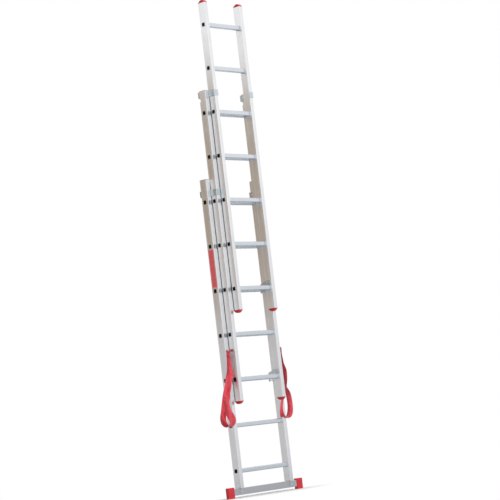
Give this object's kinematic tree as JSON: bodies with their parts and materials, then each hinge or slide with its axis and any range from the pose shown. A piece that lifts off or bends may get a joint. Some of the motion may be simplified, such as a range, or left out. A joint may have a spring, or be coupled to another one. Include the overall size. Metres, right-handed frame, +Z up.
{
  "type": "extension ladder",
  "caption": "Aluminium extension ladder of sliding sections with ribbed rungs, rung hooks, guide brackets, red end caps, spreader straps and a stabiliser bar at its foot.",
  "frame": {"origin": "on the floor, at the middle of the ladder's footprint box", "axes": "+Z up along the stiles, +X to the right across the rungs as the climber faces them, -Y towards the climber"},
  "size_m": [0.672, 0.171, 3.123],
  "materials": {
    "stile_aluminium": "extruded",
    "rung_aluminium": "extruded",
    "bar_aluminium": "extruded",
    "zinc_steel": "zinc plated",
    "fastener_steel": "zinc plated",
    "grey_plastic": "moulded",
    "red_plastic": "moulded",
    "red_webbing": "woven",
    "red_film": "printed film"
  },
  "bodies": {
    "base_section": {"base_stile_left": "stile_aluminium", "base_stile_right": "stile_aluminium", "base_rung_1": "rung_aluminium", "base_rung_2": "rung_aluminium", "base_rung_3": "rung_aluminium", "base_rung_4": "rung_aluminium", "base_rung_5": "rung_aluminium", "base_rung_6": "rung_aluminium", "base_rung_7": "rung_aluminium", "base_rivets": "fastener_steel", "base_stile_plugs": "grey_plastic", "stabiliser_bar": "bar_aluminium", "stabiliser_cap_left": "red_plastic", "stabiliser_cap_right": "red_plastic", "stabiliser_spigots": "grey_plastic", "stabiliser_bolts": "fastener_steel", "base_guide_left": "zinc_steel", "base_guide_right": "zinc_steel", "strap_ends": "red_webbing", "strap_left": "red_webbing", "strap_right": "red_webbing", "label": "red_film"},
    "middle_section": {"middle_stile_left": "stile_aluminium", "middle_stile_right": "stile_aluminium", "middle_rung_1": "rung_aluminium", "middle_rung_2": "rung_aluminium", "middle_rung_3": "rung_aluminium", "middle_rung_4": "rung_aluminium", "middle_rung_5": "rung_aluminium", "middle_rung_6": "rung_aluminium", "middle_rung_7": "rung_aluminium", "middle_rivets": "fastener_steel", "middle_stile_plugs": "red_plastic", "middle_shoe_left": "red_plastic", "middle_shoe_right": "red_plastic", "middle_guide_left": "zinc_steel", "middle_guide_right": "zinc_steel", "middle_hook_left": "zinc_steel", "middle_hook_right": "zinc_steel", "strap_loops": "zinc_steel"},
    "top_section": {"top_stile_left": "stile_aluminium", "top_stile_right": "stile_aluminium", "top_rung_1": "rung_aluminium", "top_rung_2": "rung_aluminium", "top_rung_3": "rung_aluminium", "top_rung_4": "rung_aluminium", "top_rung_5": "rung_aluminium", "top_rung_6": "rung_aluminium", "top_rung_7": "rung_aluminium", "top_rivets": "fastener_steel", "top_end_cap_left": "red_plastic", "top_end_cap_right": "red_plastic", "top_shoe_left": "red_plastic", "top_shoe_right": "red_plastic", "top_hook_left": "zinc_steel", "top_hook_right": "zinc_steel"},
    "middle_catch_left": {"middle_catch_left": "zinc_steel"},
    "middle_catch_right": {"middle_catch_right": "zinc_steel"},
    "top_catch_left": {"top_catch_left": "zinc_steel"},
    "top_catch_right": {"top_catch_right": "zinc_steel"}
  },
  "joints": [
    {"name": "middle_slide", "type": "slide", "parent": "base_section", "child": "middle_section", "axis": [0, 0, 1], "range_m": [-0.56, 0.28], "deforming": ["strap_left", "strap_right"]},
    {"name": "top_slide", "type": "slide", "parent": "middle_section", "child": "top_section", "axis": [0, 0, 1], "range_m": [-0.56, 0.56]},
    {"name": "middle_catch_left_hinge", "type": "hinge", "parent": "middle_section", "child": "middle_catch_left", "pos_m": [-0.1712, 0.0641, 0.702], "axis": [1, 0, 0], "range_deg": [0, 85], "stiffness_Nm_per_rad": 0.02, "springref_deg": -34.38},
    {"name": "middle_catch_right_hinge", "type": "hinge", "parent": "middle_section", "child": "middle_catch_right", "pos_m": [0.1712, 0.0641, 0.702], "axis": [1, 0, 0], "range_deg": [0, 85], "stiffness_Nm_per_rad": 0.02, "springref_deg": -34.38},
    {"name": "top_catch_left_hinge", "type": "hinge", "parent": "top_section", "child": "top_catch_left", "pos_m": [-0.1382, 0.0141, 1.262], "axis": [1, 0, 0], "range_deg": [0, 85], "stiffness_Nm_per_rad": 0.02, "springref_deg": -34.38},
    {"name": "top_catch_right_hinge", "type": "hinge", "parent": "top_section", "child": "top_catch_right", "pos_m": [0.1382, 0.0141, 1.262], "axis": [1, 0, 0], "range_deg": [0, 85], "stiffness_Nm_per_rad": 0.02, "springref_deg": -34.38}
  ]
}
